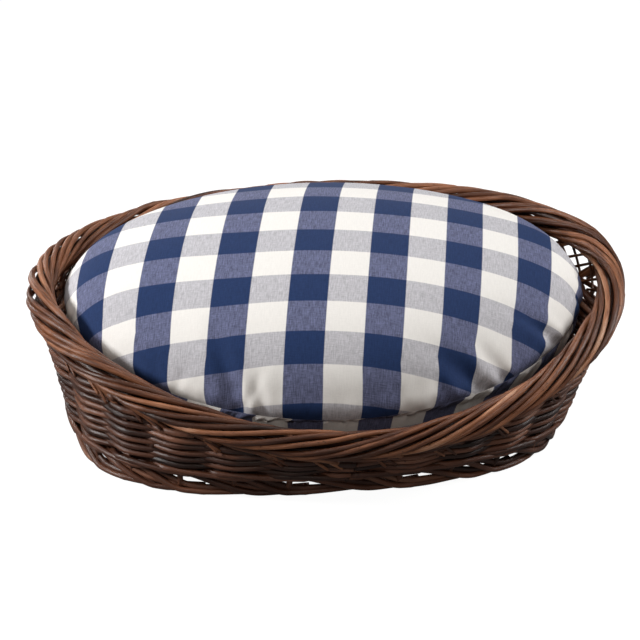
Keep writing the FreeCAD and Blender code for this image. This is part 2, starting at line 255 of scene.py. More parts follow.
class Shader:
    """A short way to write a node material."""

    def __init__(self, name):
        self.material = bpy.data.materials.new(name)
        self.material.use_nodes = True
        self.tree = self.material.node_tree
        self.surface = self.tree.nodes["Principled BSDF"]

    def feed(self, socket, value):
        if isinstance(value, bpy.types.NodeSocket):
            self.tree.links.new(value, socket)
        else:
            socket.default_value = value

    def node(self, kind, inputs=(), **settings):
        made = self.tree.nodes.new("ShaderNode" + kind)
        for key, value in settings.items():
            setattr(made, key, value)
        for key, value in dict(inputs).items():
            self.feed(made.inputs[key], value)
        return made

    def attribute(self, name, output="Vector"):
        return self.node("Attribute", attribute_name=name).outputs[output]

    def math(self, operation, first, second=0.0, clamp=False):
        return self.node("Math", {0: first, 1: second}, operation=operation, use_clamp=clamp).outputs[0]

    def stretch(self, vector, scale):
        return self.node("VectorMath", {0: vector, 1: scale}, operation="MULTIPLY").outputs[0]

    def split(self, vector):
        return self.node("SeparateXYZ", {0: vector}).outputs

    def noise(self, vector, scale=1.0, detail=3.0, roughness=0.55):
        inputs = {"Vector": vector, "Scale": scale, "Detail": detail, "Roughness": roughness}
        return self.node("TexNoise", inputs).outputs["Fac"]

    def ramp(self, factor, *stops):
        made = self.node("ValToRGB", {0: factor})
        elements = made.color_ramp.elements
        while len(elements) < len(stops):
            elements.new(0.5)
        for element, (place, colour) in zip(elements, stops):
            element.position = place
            element.color = (*colour, 1.0)
        return made.outputs[0]

    def mix(self, factor, first, second, blend="MIX"):
        made = self.node("Mix", data_type="RGBA", blend_type=blend)
        for socket, value in zip((made.inputs[0], made.inputs[6], made.inputs[7]), (factor, first, second)):
            self.feed(socket, (*value, 1.0) if isinstance(value, tuple) else value)
        return made.outputs[2]

    def span(self, value, low, high, to_low=0.0, to_high=1.0):
        inputs = {"Value": value, "From Min": low, "From Max": high, "To Min": to_low, "To Max": to_high}
        return self.node("MapRange", inputs).outputs[0]

    def bump(self, height, distance, strength=1.0):
        made = self.node("Bump", {"Height": height, "Distance": distance, "Strength": strength})
        self.feed(self.surface.inputs["Normal"], made.outputs[0])

    def set(self, **values):
        for key, value in values.items():
            self.feed(self.surface.inputs[key.replace("_", " ")], value)


TONE_SHARE = 0.42                       # what each of the three adds to a rod's lightness
BLOTCH_SHARE = 0.55
STREAK_SHARE = 0.40


def willow(name, dark, middle, light, pale):
    """Stained willow: tone differs from rod to rod, with streaks along the grain, blotches and scars."""
    shader = Shader(name)
    grain = shader.attribute("grain")
    tone = shader.attribute("tone", "Fac")
    blotches = shader.noise(shader.stretch(grain, (0.02, 0.10, 0.10)), 1.0, 3.0)
    streaks = shader.noise(shader.stretch(grain, (0.05, 1.1, 1.1)), 1.0, 5.0, 0.65)
    scars = shader.noise(shader.stretch(grain, (0.25, 0.3, 0.3)), 1.0, 2.0)
    value = shader.math("MULTIPLY", tone, TONE_SHARE)
    value = shader.math("ADD", value, shader.math("MULTIPLY", blotches, BLOTCH_SHARE))
    value = shader.math("ADD", value, shader.math("MULTIPLY", streaks, STREAK_SHARE))
    colour = shader.ramp(value, (0.38, dark), (0.62, middle), (0.82, light), (1.0, pale))
    scarred = shader.span(scars, 0.64, 0.76)
    colour = shader.mix(shader.math("MULTIPLY", scarred, 0.75), colour, dark)
    shader.set(Base_Color=colour, Roughness=shader.span(streaks, 0.3, 0.75, 0.32, 0.54))
    shader.surface.inputs["Specular IOR Level"].default_value = 0.36
    shader.bump(shader.math("ADD", streaks, shader.math("MULTIPLY", scars, 0.5)), 0.0006, 0.7)
    return shader.material


# The border rods get the lightest and warmest copy of the willow. The wall, stake and base rods get a darker,
# cooler copy, and the foot rods get one with still darker light tones. The change of hue is stain, and the
# lightness falling from the border down to the foot is painted shade.
WALL_WILLOW_PAINTED_SHADE = willow("wall_willow_painted_shade", (0.007, 0.0021, 0.0010), (0.046, 0.0150, 0.0074),
                     (0.165, 0.064, 0.034), (0.38, 0.20, 0.13))
BORDER_WILLOW = willow("border_willow", (0.012, 0.0030, 0.0010), (0.086, 0.0262, 0.0093),
                       (0.30, 0.118, 0.054), (0.60, 0.36, 0.23))
FOOT_WILLOW_PAINTED_SHADE = willow("foot_willow_painted_shade", (0.009, 0.0028, 0.0013), (0.052, 0.0168, 0.0078),
                     (0.14, 0.053, 0.028), (0.28, 0.14, 0.085))


# ---------------------------------------------------------------- wall

RIGHT_OPENING = (17.0, 7.9, 1.5)        # greatest depth, then middle and half width in stakes
LEFT_OPENING = (6.0, 19.9, 1.4)


def openwork(stake):
    """How far below the border the rows stop: only near the two ends do they stop well short of it."""
    right, left = (depth * np.exp(-((np.asarray(stake) - middle) / half_width) ** 2)
                   for depth, middle, half_width in (RIGHT_OPENING, LEFT_OPENING))
    return right + left


def free_height(stake):
    """The room for rows between the wall's bottom and the border."""
    return RIM.at(stake)[..., 2] - RIM_RADIUS + 2.0 - WALL_BOTTOM - openwork(stake)


TALLEST = free_height(np.linspace(0, STAKES, 200)).max()
LOW_ROW_SHARE = 0.70
HIGH_ROW_GAIN = 0.30


def row_height(row, stake):
    """Rows lie closer together at the low front than at the high back."""
    full = RIM.at(stake)[..., 2] - RIM_RADIUS - WALL_BOTTOM
    pitch = ROW_PITCH * (LOW_ROW_SHARE + HIGH_ROW_GAIN * full / TALLEST)
    return WALL_BOTTOM + pitch * (row + 0.5)


KINK = 0.93                             # 0 bends a rod evenly, 1 only where it rounds a stake


def kinked(phase):
    """A wave from -1 to 1 that bends mostly at its peaks, as a rod does round a stake."""
    return np.arcsin(KINK * np.cos(phase)) / math.asin(KINK)


def weaver_stretches(row):
    """Where a row has room under the border, as (first, last) places; all the way round is 0, STAKES."""
    places = np.linspace(0, STAKES, 1401)
    fits = row_height(row, places) + WEAVER_RADIUS <= WALL_BOTTOM + free_height(places)
    if fits.all():
        return [(0.0, float(STAKES))]
    changes = np.flatnonzero(np.diff(np.concatenate([[0], fits.astype(int), [0]])))
    return [(places[first], places[last - 1]) for first, last in zip(changes[::2], changes[1::2])]


def add_weaver(rods, row, first, last, parity, radius):
    """One rod of a row, woven in front of one stake and behind the next."""
    stake = np.linspace(first, last, max(6, int((last - first) * 9)))
    reach = STAKE_RADIUS + radius + 0.1
    across = reach * kinked(math.pi * (stake + parity)) + wobble(len(stake), 0.3, last - first)
    height = row_height(row, stake) + wobble(len(stake), 0.45, (last - first) * 0.7)
    taper = np.linspace(1.06, 0.84, len(stake))
    if CHANCE.random() < 0.5:
        taper = taper[::-1]
    rods.add(wall_point(stake, height, across), radius * taper)


ROD_SPAN = (6.5, 10.5)                  # one rod reaches round this many stakes
SHORTEST_LEFT = 2.0
ROD_OVERLAP = 0.45


def weave_row(rods, row, radius):
    for first, last in weaver_stretches(row):
        start = first
        while start < last - 0.5:
            end = min(last, start + CHANCE.uniform(*ROD_SPAN))
            if last - end < SHORTEST_LEFT:
                end = last
            add_weaver(rods, row, start, end + (ROD_OVERLAP if end < last else 0.0), row % 2, radius)
            start = end


WALE_ROW = 1                            # the wale fills rows 0 to 2


def wale(rods):
    """Three rods that pass in front of two stakes and behind one, laid over each other like a rope."""
    for strand in range(3):
        stake = np.linspace(0, STAKES, STAKES * 9)
        behind = np.cos(TURN * (stake + strand) / 3)
        swing = np.clip(1.1 - 2.4 * smooth(behind + 0.1), -1.05, 1.05)
        across = (STAKE_RADIUS + WALE_RADIUS) * swing
        climb = 1.7 * np.sin(TURN * (stake + strand) / 3)
        height = row_height(WALE_ROW, stake) + climb + wobble(len(stake), 0.3, (STAKES + 1) / 3)
        rods.add(wall_point(stake, height, across), WALE_RADIUS)


def make_wall():
    foot_wale = Rods()
    wale(foot_wale)
    foot_wale.build("upsett_wale_rods", FOOT_WILLOW_PAINTED_SHADE, "basket", "upsett_wale")
    full = Rods()
    packing = Rods()
    row = WALE_ROW + 2
    while weaver_stretches(row):
        whole = weaver_stretches(row)[0] == (0.0, float(STAKES))
        weave_row(full if whole else packing, row, WEAVER_RADIUS)
        row += 1
    full.build("side_weave_rods", WALL_WILLOW_PAINTED_SHADE, "basket", "side_weave")
    packing.build("side_packing_rods", WALL_WILLOW_PAINTED_SHADE, "basket", "side_packing")


def make_stakes():
    for index in range(STAKES):
        top = WALL_BOTTOM + free_height(float(index)) - 1.0
        height = np.linspace(STAKE_FOOT_HEIGHT, top, int(top / 5) + 4)
        rods = Rods()
        path = wall_point(np.full(len(height), float(index)), height, np.zeros(len(height)))
        rods.add(path, STAKE_RADIUS)
        rods.build(f"stake_rod_{index + 1:02d}", WALL_WILLOW_PAINTED_SHADE, "basket", f"stake_{index + 1:02d}")


# ---------------------------------------------------------------- rolled border

def border_section(stake):
    """The border's centre, and the outward and upward directions across it."""
    along = RIM.along(stake)
    out = outward(stake)
    rise = np.cross(out, along)
    rise *= np.sign(rise[..., 2:])
    return RIM.at(stake), out, rise


BORDER_RODS_PER_STAKE = 2
HELIX_RADIUS = RIM_RADIUS - BORDER_ROD_RADIUS + 0.2
TWIST_LENGTH = 292.0          # one turn of a border rod round the rope
BORDER_ENTRY = 46.0           # a rod leaves the wall and joins the rope over this length
ENTRY_BEARING = math.radians(-75)       # it joins nearly at the bottom of the rope
TUCK_DEPTH = 3.2              # and sinks this far in towards its end
TUCK_LENGTH = 55.0


def add_border_rod(rods, stake, order):
    """A rod leans left out of the wall, makes a turn round the rope and tucks in underneath."""
    lag = order * RIM_GAP / BORDER_RODS_PER_STAKE + CHANCE.normal(0, 3.0)
    layer = CHANCE.uniform(-1.4, 0.4)
    run = np.linspace(0, BORDER_ENTRY + lag + TWIST_LENGTH, 92)
    place = stake - run / RIM_GAP
    centre, out, rise = border_section(place)
    turned = np.maximum(run - BORDER_ENTRY * 0.6 - lag, 0) / TWIST_LENGTH
    angle = ENTRY_BEARING - TURN * turned + wobble(len(run), 0.05, 4)
    left = run[-1] - run
    tuck = TUCK_DEPTH * (1 - smooth(left / TUCK_LENGTH))
    reach = HELIX_RADIUS + layer - tuck + wobble(len(run), 0.5, 5)
    reach = np.minimum(reach, HELIX_RADIUS + 0.6)
    rope = centre + out * (reach * np.cos(angle))[:, None] + rise * (reach * np.sin(angle))[:, None]
    gap = openwork(stake)
    low = centre[:, 2] - RIM_RADIUS - 11.0 - gap
    climb = np.clip(run / BORDER_ENTRY, 0, 1)
    wall = wall_point(place, low + (13.0 + gap) * climb, np.full(len(run), 0.8 + 1.6 * order))
    share = smooth((run - 8.0) / (BORDER_ENTRY - 8.0))[:, None]
    path = wall * (1 - share) + rope * share
    taper = np.interp(run, [0, 60, run[-1] - 60, run[-1]], [0.80, 1.0, 0.95, 0.55])
    rods.add(path, BORDER_ROD_RADIUS * taper * CHANCE.uniform(0.84, 1.07), rough=0.05)


def add_cut_tips(rods, stake):
    """Two thin ends that come out of the border, lean right going down and are cut off outside the wall."""
    for gap in (0.0, 0.11):
        slip = stake + gap + CHANCE.normal(0, 0.04)
        place = slip + np.linspace(0, CHANCE.uniform(0.30, 0.46), 9)
        top = RIM.at(slip)[2] - RIM_RADIUS + 2.0
        height = top - np.linspace(0, CHANCE.uniform(11, 17), 9)
        across = np.linspace(2.4, 6.8, 9)
        rods.add(wall_point(place, height, across), np.linspace(1.6, 1.2, 9), tone_shift=-0.1, buds=False)


def add_crossed_ends(rods, first, last):
    """Thin ends that cross in the open band under the border, near an end of the basket."""
    for start in np.arange(first, last, 0.5):
        for lean in (-0.75, 0.75):
            place = start + CHANCE.normal(0, 0.06) + np.linspace(0, lean, 9)
            low = WALL_BOTTOM + free_height(place[0]) - 5.0
            high = RIM.at(place[-1])[2] - RIM_RADIUS + 4.0
            across = np.full(9, 1.6 * np.sign(lean))
            rods.add(wall_point(place, np.linspace(low, high, 9), across), 1.35, tone_shift=-0.2, buds=False)


OPEN_BANDS = ((5.6, 10.4), (18.4, 21.6))   # the stakes between which the border's lower edge is open
CORE_REACH = 4.2                        # three hidden rods lie this far from the rope's middle
CORE_TURNS = 6


def make_border():
    rods = Rods()
    for stake in range(STAKES):
        for order in range(BORDER_RODS_PER_STAKE):
            add_border_rod(rods, stake + CHANCE.normal(0, 0.06), order)
        add_cut_tips(rods, stake + CHANCE.uniform(0.1, 0.5))
    for first, last in OPEN_BANDS:
        add_crossed_ends(rods, first, last)
    # The three core rods take the darkest tone, as painted shade where they show in the gaps between the
    # rope's rods.
    for strand in range(3):
        stake = np.linspace(0, STAKES, 560)
        centre, out, rise = border_section(stake)
        angle = TURN * (strand / 3 + stake * CORE_TURNS / STAKES)
        path = (centre + out * (CORE_REACH * np.cos(angle))[:, None]
                + rise * (CORE_REACH * np.sin(angle))[:, None])
        rods.add(path, BORDER_ROD_RADIUS * 1.1, tone_shift=-0.6)
    rods.build("border_rods", BORDER_WILLOW, "basket", "rolled_border")


# ---------------------------------------------------------------- foot border

def add_foot_rod(rods, stake, drop, lift, side, length):
    """A rod that comes down out of the wall, sweeps right to the floor and ends under the next ones."""
    run = np.linspace(-0.5, length, 44)
    fall = smooth(run / drop)
    height = (WALL_BOTTOM + 3.5) * (1 - fall) + (FOOT_ROD_RADIUS + lift) * fall
    across = side + 3.2 * np.sin(math.pi * np.clip(run / length, 0, 1)) - 1.6 * smooth(run - length + 1)
    height = height + wobble(len(run), 0.15, 3)
    height = np.maximum(height, FOOT_ROD_RADIUS)
    taper = np.interp(run, [-0.5, 0.3, length], [0.8, 1.0, 0.8])
    rods.add(wall_point(stake + run, height, across), FOOT_ROD_RADIUS * taper, rough=0.03)


# Each stake's foot rods: where they start and how far along they fall, in stakes, then how high and
# how far out they lie, in millimetres, and their length in stakes.
FOOT_RODS = ((0.0, 1.15, 0.0, -0.6, 2.45), (0.16, 1.2, 4.2, -3.6, 2.3), (0.1, 0.9, 0.6, -6.5, 2.2))
LATE_FALL = 0.5                         # rods from every second stake fall this much later


def make_foot():
    rods = Rods(sides=10)
    for stake in range(STAKES):
        start = stake + CHANCE.normal(0, 0.05)
        closed = stake % 2
        for delay, drop, lift, side, length in FOOT_RODS:
            add_foot_rod(rods, start + delay, drop + LATE_FALL * closed, lift, side, length)
    rods.build("foot_border_rods", FOOT_WILLOW_PAINTED_SHADE, "basket", "foot_border")


# ---------------------------------------------------------------- base

def base_row(scale, parity, rods):
    """One round of base weave, over one stick and under the next."""
    turns = np.linspace(0, TURN, max(40, int(260 * scale)) + 1)
    points = FLOOR_CENTRE + (floor_outline(turns, 5.0)[:, :2] - FLOOR_CENTRE) * scale
    wave = BASE_WAVE * np.cos(turns * STAKES / 2 + math.pi * parity)
    middle = (BASE_BOTTOM + BASE_TOP) / 2
    path = np.concatenate([points, (middle + wave + wobble(len(turns), 0.15, 12))[:, None]], 1)
    rods.add(path, BASE_ROD_RADIUS)


def make_base():
    rods = Rods()
    reach = FLOOR_HALF[0] / BASE_ROW_PITCH
    for row in range(int(reach)):
        base_row((row + 1.0) / reach, row % 2, rods)
    rods.build("base_weave_rods", WALL_WILLOW_PAINTED_SHADE, "basket", "base_weave")
    for name in ("base_long_sticks", "base_cross_sticks"):
        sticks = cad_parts[name]
        sticks.data.materials.clear()
        sticks.data.materials.append(plain_willow())


def plain_willow():
    """Stained willow for sticks that carry no grain of their own."""
    shader = Shader("stick_willow")
    place = shader.node("TexCoord").outputs["Object"]
    streaks = shader.noise(shader.stretch(place, (60.0, 60.0, 400.0)), 1.0, 4.0)
    colour = shader.ramp(streaks, (0.3, (0.02, 0.008, 0.005)), (0.7, (0.11, 0.05, 0.03)))
    shader.set(Base_Color=colour, Roughness=0.5)
    shader.bump(streaks, 0.0005, 0.5)
    return shader.material


# ---------------------------------------------------------------- cushion

CHECK = 34.3                            # side of one square of the gingham
WARP_TURN = math.radians(12.0)          # the top panel's warp runs front to back, turned this much right
WEFT_TURN = math.radians(7.0)           # the weft is pulled a little off square
WARP_DRAW = 0.904                       # the cloth is drawn tighter along the warp, and more so at the back
WARP_DRAW_GROWTH = 0.00055
LEFT_SHIFT = 14.0                       # how far the weft stripes ride up near the left end
SHOULDER_DEPTH = 32.0                   # from the seam up to where the dome's side begins to curve over
LONG_ARC_STATIONS = 200
END_ARC_STATIONS = 120


def oval_ring(shape, inset=0.0):
    """Points round an oval of four arcs, from its right back corner towards the left."""
    half_length, half_depth, end_radius, centre = shape
    half_length, half_depth, end_radius = half_length - inset, half_depth - inset, end_radius - inset
    end_reach = half_length - end_radius
    side_reach = ((end_reach ** 2 + half_depth ** 2 - end_radius ** 2) / (2 * (half_depth - end_radius))
                  - half_depth)
    side_radius = half_depth + side_reach
    corner = math.atan2(end_reach, side_reach)
    arcs = ((0, -side_reach, side_radius, -corner, 2 * corner, LONG_ARC_STATIONS),
            (-end_reach, 0, end_radius, corner, math.pi - 2 * corner, END_ARC_STATIONS),
            (0, side_reach, side_radius, math.pi - corner, 2 * corner, LONG_ARC_STATIONS),
            (end_reach, 0, end_radius, math.pi + corner, math.pi - 2 * corner, END_ARC_STATIONS))
    points = []
    for x, y, radius, start, sweep, stations in arcs:
        turn = start + sweep * np.arange(stations) / stations
        points.append(np.stack([x - radius * np.sin(turn), y + radius * np.cos(turn)], -1))
    return np.concatenate(points) + centre


SAG = 9.0                               # the cloth hangs this much lower than the CAD seam
SAG_BEARING = 1.0                       # radians each way from the front
LEFT_SAG_SPREAD = 0.62
RIGHT_SAG_SPREAD = 0.50


def seam_height(points):
    """The height of the seam at points on it, with the cloth's sag at the front left and front right."""
    offset = points - SEAM[3]
    bearing = np.arctan2(offset[..., 0], -offset[..., 1])
    forward = np.cos(bearing)
    sag = (SAG * np.exp(-((bearing + SAG_BEARING) / LEFT_SAG_SPREAD) ** 2)
           + SAG * np.exp(-((bearing - SAG_BEARING) / RIGHT_SAG_SPREAD) ** 2))
    return (SEAM_FRONT_HEIGHT + SEAM_RISE_TO_BACK * (1 - forward) / 2
            + SEAM_LIFT_AT_ENDS * (1 - forward ** 2) - sag)


def dome_fill(share):
    """How far up between seam and top the dome stands, at a share of its full spread."""
    return (1 - np.minimum(share, 1) ** DOME_FULLNESS) ** DOME_SHOULDER


def even_shares(count):
    """Shares of the dome's spread that are about equally far apart on its surface."""
    share = 1 - np.linspace(0, 1, 4000) ** 2.4
    steps = np.hypot(np.diff(share) * 200.0, np.diff(dome_fill(share)) * 85.0)
    run = np.concatenate([[0], np.cumsum(steps)])
    return np.interp(np.linspace(0, run[-1], count + 1)[:-1], run, share)


def dome_height(x, y, inset=0.0):
    """The dome's height over any place, and the seam's height outside the seam."""
    ring = oval_ring(SEAM, inset)
    offset = ring - DOME_PEAK
    bearing = np.arctan2(offset[:, 0], offset[:, 1])
    order = np.argsort(bearing)
    here = np.arctan2(x - DOME_PEAK[0], y - DOME_PEAK[1])
    reach = np.interp(here, bearing[order], np.hypot(*offset.T)[order], period=TURN)
    seam = np.interp(here, bearing[order], seam_height(ring)[order], period=TURN)
    share = np.hypot(x - DOME_PEAK[0], y - DOME_PEAK[1]) / reach
    return seam + (CUSHION_TOP - inset - seam) * dome_fill(share)


def cloth_places(points):
    """Distances across and along the warp, over the dome to each point, for a panel laid over it."""
    step = 2.0
    grid = np.arange(-280.0, 281.0, step)
    across, along = np.meshgrid(grid, grid, indexing="ij")
    places = []
    for axis, turn in enumerate((WARP_TURN, WEFT_TURN)):
        right = np.array([math.cos(turn), -math.sin(turn)])
        ahead = np.array([math.sin(turn), math.cos(turn)])
        height = dome_height(across * right[0] + along * ahead[0], across * right[1] + along * ahead[1])
        steps = np.hypot(np.diff(height, axis=axis), step)
        run = np.concatenate([np.zeros_like(steps.take([0], axis)), np.cumsum(steps, axis)], axis)
        run = run - run.take([len(grid) // 2], axis)
        places.append(grid_value(run, points[:, :2] @ np.stack([right, ahead], 1), grid))
    across, along = places
    along = WARP_DRAW * along - WARP_DRAW_GROWTH * along ** 2
    return np.stack([across, along - LEFT_SHIFT * smooth((-across - 60.0) / 150.0)], -1)


def grid_value(values, places, grid):
    """Values of a square grid read between its points."""
    spot = (places - grid[0]) / (grid[1] - grid[0])
    low = np.clip(spot.astype(int), 0, len(grid) - 2)
    share = spot - low
    x, y = low[:, 0], low[:, 1]
    near = values[x, y] * (1 - share[:, 0]) + values[x + 1, y] * share[:, 0]
    far = values[x, y + 1] * (1 - share[:, 0]) + values[x + 1, y + 1] * share[:, 0]
    return near * (1 - share[:, 1]) + far * share[:, 1]


GATHERED_LEAN = 0.45                    # gathers let the warp hang straighter, at this share of its lean
END_STARTS = 0.84                       # past this share of the half length it begins to keep more
END_SPAN = 0.14


def unroll_edge(cloth, depth):
    """Carries the cloth straight on from the dome's shoulder down to the seam, ring by ring."""
    shoulder = np.argmax(depth.mean(1) > SHOULDER_DEPTH)
    heading = cloth[shoulder] - cloth[shoulder + 4]
    sideways = abs(SEAM_RING[:, 0] - SEAM[3][0]) / SEAM[0]
    kept = GATHERED_LEAN + (1 - GATHERED_LEAN) * smooth((sideways - END_STARTS) / END_SPAN)
    heading[:, 0] *= kept
    heading /= np.linalg.norm(heading, axis=1, keepdims=True)
    left = (depth[shoulder] - depth[:shoulder])[..., None]
    return np.concatenate([cloth[shoulder] + heading * left, cloth[shoulder:]])


def ring_normals(points):
    """Normals of a grid of rings by stations."""
    around = np.roll(points, -1, 1) - np.roll(points, 1, 1)
    down = np.gradient(points, axis=0)
    normals = np.cross(around, down)
    normals /= np.linalg.norm(normals, axis=2, keepdims=True) + 1e-9
    return normals


def ring_faces(rings, stations, closed=True):
    """Faces of a grid of rings. An open grid has its first station again at the end."""
    ring, station = np.meshgrid(np.arange(rings - 1), np.arange(stations if closed else stations - 1),
                                indexing="ij")
    onward = (station + 1) % stations
    low, high = ring * stations, (ring + 1) * stations
    corners = (low + station, low + onward, high + onward, high + station)
    return np.stack(corners, -1).reshape(-1, 4).tolist()


SEAM_RING = oval_ring(SEAM)
SEAM_RUN = np.concatenate([[0], np.cumsum(np.hypot(*np.diff(SEAM_RING, axis=0).T))])
SEAM_PULL = 2.4
SEAM_LENGTH = SEAM_RUN[-1] + math.dist(SEAM_RING[-1], SEAM_RING[0])
SEAM_OUT = (np.roll(SEAM_RING, -1, 0) - np.roll(SEAM_RING, 1, 0))[:, ::-1] * np.array([1.0, -1.0])
SEAM_OUT /= np.linalg.norm(SEAM_OUT, axis=1, keepdims=True)


def draw_in(points, depth):
    """Pulls the cloth in along the seam, the same amount on both of the pieces that meet there."""
    pull = SEAM_PULL * np.exp(-depth / 3.5)
    points[..., :2] -= SEAM_OUT * pull[..., None]
    return points


def seam_place(bearing):
    """Distance along the seam to a compass bearing in degrees: 0 is the front, 90 the right end."""
    turn = math.radians(bearing)
    offset = SEAM_RING - SEAM[3]
    aim = np.array([math.sin(turn), -math.cos(turn)])
    return SEAM_RUN[np.argmax(offset @ aim / np.hypot(*offset.T))]


def round_seam(gap):
    """A distance along the seam, taken the short way round."""
    return (gap + SEAM_LENGTH / 2) % SEAM_LENGTH - SEAM_LENGTH / 2


def pucker(run, depth, place, width, length, slant, size):
    """A crease that starts at the seam and dies out up the dome, with a soft ridge on each side."""
    gap = round_seam(run - place - slant * depth) / (width * (1 + 0.5 * depth / length))
    fade = np.exp(-(depth / length) ** 2)
    return size * fade * ((1 - 1.6 * gap ** 2) * -np.exp(-gap ** 2))


# Each fold's bearing in degrees, width, length up the dome, slant and size.
FOLDS = ((-29, 11, 60, -0.55, 4.2), (-24, 8, 40, -0.3, 2.4), (36, 13, 46, -0.75, 4.6), (43, 9, 38, -0.5, 3.2),
         (63, 9, 44, -0.7, 4.6), (21, 9, 30, 0.4, 2.0), (4, 10, 26, 0.2, 1.4), (78, 8, 30, -0.3, 2.6))


def creases(run, depth):
    """Height of all the creases near the seam: the larger folds and many small gathers."""
    height = np.zeros_like(depth)
    for bearing, width, length, slant, size in FOLDS:
        height += pucker(run, depth, seam_place(bearing), width, length, slant, size)
    place = 0.0
    while place < SEAM_LENGTH:
        size = CHANCE.uniform(0.3, 1.3)
        height += pucker(run, depth, place, CHANCE.uniform(4, 9), CHANCE.uniform(12, 34),
                         CHANCE.uniform(-0.5, 0.5), size)
        place += CHANCE.uniform(14, 30)
    return height


ROLL_HEIGHT = 1.4                       # the cloth stands up in a roll just above the seam
BACK_FULLNESS = 3.8                     # and stands fuller round the sides and back of the dome


def make_cover_top(material):
    shares = even_shares(96)
    stations = len(SEAM_RING)
    flat = DOME_PEAK + (SEAM_RING[None] - DOME_PEAK) * shares[:, None, None]
    seam = seam_height(SEAM_RING)[None]
    height = seam + (CUSHION_TOP - seam) * dome_fill(shares)[:, None]
    points = np.concatenate([flat, height[..., None]], -1)
    cloth = cloth_places(points.reshape(-1, 3))
    steps = np.linalg.norm(np.diff(points, axis=0), axis=2)
    depth = np.concatenate([np.zeros((1, stations)), np.cumsum(steps, 0)])
    cloth = unroll_edge(cloth.reshape(len(shares), stations, 2), depth)
    run = np.broadcast_to(SEAM_RUN, depth.shape)
    normals = ring_normals(points)
    if normals[..., 2].mean() < 0:
        normals = -normals
    forward = (SEAM[3][1] - SEAM_RING[:, 1]) / np.hypot(*(SEAM_RING - SEAM[3]).T)
    lift = creases(run, depth) * smooth(depth / 7.0)
    lift += ROLL_HEIGHT * np.exp(-((depth - 11) / 7) ** 2) * smooth(depth / 5.0)
    lift += BACK_FULLNESS * smooth((0.6 - forward) / 1.2) * np.exp(-((depth - 50) / 38) ** 2)
    points = draw_in(points + normals * lift[..., None], depth)
    peak = [[*DOME_PEAK, CUSHION_TOP]]
    vertices = np.concatenate([points.reshape(-1, 3), peak])
    faces = ring_faces(len(shares), stations)
    last = (len(shares) - 1) * stations
    faces += [[last + index, last + (index + 1) % stations, len(vertices) - 1] for index in range(stations)]
    places = np.concatenate([cloth.reshape(-1, 2), cloth_places(np.array(peak))])
    piece = make_piece("cover_top", vertices, faces, material, "cushion",
                       [("cloth", "FLOAT_VECTOR", np.pad(places, ((0, 0), (0, 1))))])
    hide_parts("cover_top_panel")


STRIP_FULLNESS = 1.08                   # the strip holds this much more cloth than the seam is long
ZIP_HEIGHT = 50.0
ZIP_HALF_ANGLE = 34.0
ZIP_HALF_WIDTH = 5.6
ZIP_ARC_CENTRE = np.array([-7.0, -83.375])
ZIP_ARC_RADIUS = 252.7
ZIP_COIL_PITCH = 1.25


def make_cover_side(material):
    """The side strip: out from the bottom to the level belt, and on up to the seam."""
    bottom = oval_ring(BELT, BOTTOM_INSET)
    belt = oval_ring(BELT)
    levels = np.concatenate([np.linspace(BOTTOM_HEIGHT + 1.5, ZIP_HEIGHT - ZIP_HALF_WIDTH - 0.6, 8),
                             np.linspace(ZIP_HEIGHT - ZIP_HALF_WIDTH, ZIP_HEIGHT + ZIP_HALF_WIDTH, 8),
                             np.linspace(ZIP_HEIGHT + ZIP_HALF_WIDTH + 0.6, BELT_HEIGHT, 7)])
    rings = []
    for level in levels:
        share = (level - levels[0]) / (BELT_HEIGHT - levels[0])
        flat = bottom + (belt - bottom) * share
        rings.append(np.concatenate([flat, np.full((len(flat), 1), level)], 1))
    top = np.concatenate([SEAM_RING, seam_height(SEAM_RING)[:, None]], 1)
    for share in np.linspace(0, 1, 31)[1:]:
        rings.append(rings[len(levels) - 1] * (1 - share) + top * share)
    points = np.stack(rings)
    depth = np.linalg.norm(np.diff(points, axis=0), axis=2)[::-1].cumsum(0)[::-1]
    depth = np.concatenate([depth, np.zeros((1, depth.shape[1]))])
    run = np.broadcast_to(SEAM_RUN, depth.shape)
    normals = ring_normals(points)
    centre = points - np.array([*SEAM[3], 0])
    normals *= np.sign((normals * centre).sum(2, keepdims=True))
    zipped = np.degrees(np.arctan2(points[..., 0] - ZIP_ARC_CENTRE[0], points[..., 1] - ZIP_ARC_CENTRE[1]))
    zipped = (abs(zipped) < ZIP_HALF_ANGLE + 0.3) & (abs(points[..., 2] - ZIP_HEIGHT) < ZIP_HALF_WIDTH + 0.1)
    gathers = 0.9 * np.sin(TURN * SEAM_RUN / 23 + wobble(len(SEAM_RUN), 1.2, 40))
    gathers = gathers + 0.6 * np.sin(TURN * SEAM_RUN / 11.3 + wobble(len(SEAM_RUN), 1.5, 50))
    lift = gathers[None] * np.exp(-((depth - 6) / 12) ** 2) * smooth(depth / 5.0)
    lift = np.where(zipped, -1.6, lift * smooth((points[..., 2] - 58) / 12))
    points = draw_in(points + normals * lift[..., None], depth)
    points, depth = (np.concatenate([values, values[:, :1]], 1) for values in (points, depth))
    run = np.broadcast_to(np.append(SEAM_RUN, SEAM_LENGTH), depth.shape)     # the strip's two ends meet here
    places = np.stack([run * STRIP_FULLNESS, -depth, 0 * depth], -1)
    faces = ring_faces(len(rings), len(SEAM_RING) + 1, closed=False)
    piece = make_piece("cover_side", points.reshape(-1, 3), faces, material, "cushion",
                       [("cloth", "FLOAT_VECTOR", places.reshape(-1, 3))])
    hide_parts("cover_side_strip")


def make_cover_bottom(material):
    ring = oval_ring(BELT, BOTTOM_INSET)
    shares = np.linspace(1, 0.02, 40)
    flat = BELT[3] + (ring[None] - BELT[3]) * shares[:, None, None]
    height = np.broadcast_to(BOTTOM_HEIGHT + 1.4 - 1.2 * smooth((1 - shares) * 12), flat.shape[1::-1]).T
    points = np.concatenate([flat, height[..., None]], -1).reshape(-1, 3)
    faces = ring_faces(len(shares), len(ring))
    last = (len(shares) - 1) * len(ring)
    faces.append([last + index for index in range(len(ring))])
    piece = make_piece("cover_bottom", points, faces, material, "cushion",
                       [("cloth", "FLOAT_VECTOR", points)])
    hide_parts("cover_bottom_panel")


